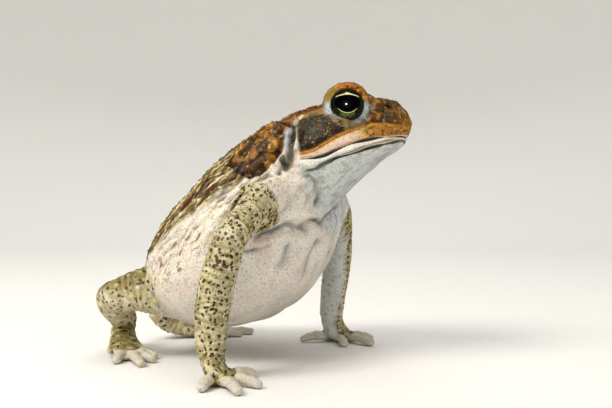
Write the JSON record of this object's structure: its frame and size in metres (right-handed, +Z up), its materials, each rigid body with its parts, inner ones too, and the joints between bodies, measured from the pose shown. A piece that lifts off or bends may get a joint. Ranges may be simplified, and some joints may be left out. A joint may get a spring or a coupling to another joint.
{
  "type": "cane toad model",
  "caption": "Life-size still model of a cane toad sitting high on straight front legs, belly puffed up, head turned a little to its left.",
  "frame": {"origin": "on the floor under the middle of the toad's bounding box", "axes": "+X ahead, the way the toad's body points; +Y to the toad's left; +Z up"},
  "size_m": [0.119, 0.1148, 0.1015],
  "materials": {
    "torso": "granular matt skin",
    "head": "granular matt skin",
    "lower_jaw": "granular matt skin",
    "eye_left": "wet gloss",
    "tympanum_left": "granular matt skin",
    "parotoid_left": "granular matt skin",
    "upper_arm_left": "granular matt skin",
    "forearm_left": "granular matt skin",
    "hand_left": "granular matt skin",
    "thigh_left": "granular matt skin",
    "shank_left": "granular matt skin",
    "foot_left": "granular matt skin",
    "finger_left_1": "granular matt skin",
    "finger_left_2": "granular matt skin",
    "finger_left_3": "granular matt skin",
    "finger_left_4": "granular matt skin",
    "toe_left_1": "granular matt skin",
    "toe_left_2": "granular matt skin",
    "toe_left_3": "granular matt skin",
    "toe_left_4": "granular matt skin",
    "toe_left_5": "granular matt skin",
    "eye_right": "wet gloss",
    "tympanum_right": "granular matt skin",
    "parotoid_right": "granular matt skin",
    "upper_arm_right": "granular matt skin",
    "forearm_right": "granular matt skin",
    "hand_right": "granular matt skin",
    "thigh_right": "granular matt skin",
    "shank_right": "granular matt skin",
    "foot_right": "granular matt skin",
    "finger_right_1": "granular matt skin",
    "finger_right_2": "granular matt skin",
    "finger_right_3": "granular matt skin",
    "finger_right_4": "granular matt skin",
    "toe_right_1": "granular matt skin",
    "toe_right_2": "granular matt skin",
    "toe_right_3": "granular matt skin",
    "toe_right_4": "granular matt skin",
    "toe_right_5": "granular matt skin"
  },
  "bodies": {
    "root": {"torso": "torso", "head": "head", "lower_jaw": "lower_jaw", "eye_left": "eye_left", "tympanum_left": "tympanum_left", "parotoid_left": "parotoid_left", "upper_arm_left": "upper_arm_left", "forearm_left": "forearm_left", "hand_left": "hand_left", "thigh_left": "thigh_left", "shank_left": "shank_left", "foot_left": "foot_left", "finger_left_1": "finger_left_1", "finger_left_2": "finger_left_2", "finger_left_3": "finger_left_3", "finger_left_4": "finger_left_4", "toe_left_1": "toe_left_1", "toe_left_2": "toe_left_2", "toe_left_3": "toe_left_3", "toe_left_4": "toe_left_4", "toe_left_5": "toe_left_5", "eye_right": "eye_right", "tympanum_right": "tympanum_right", "parotoid_right": "parotoid_right", "upper_arm_right": "upper_arm_right", "forearm_right": "forearm_right", "hand_right": "hand_right", "thigh_right": "thigh_right", "shank_right": "shank_right", "foot_right": "foot_right", "finger_right_1": "finger_right_1", "finger_right_2": "finger_right_2", "finger_right_3": "finger_right_3", "finger_right_4": "finger_right_4", "toe_right_1": "toe_right_1", "toe_right_2": "toe_right_2", "toe_right_3": "toe_right_3", "toe_right_4": "toe_right_4", "toe_right_5": "toe_right_5"}
  },
  "joints": []
}
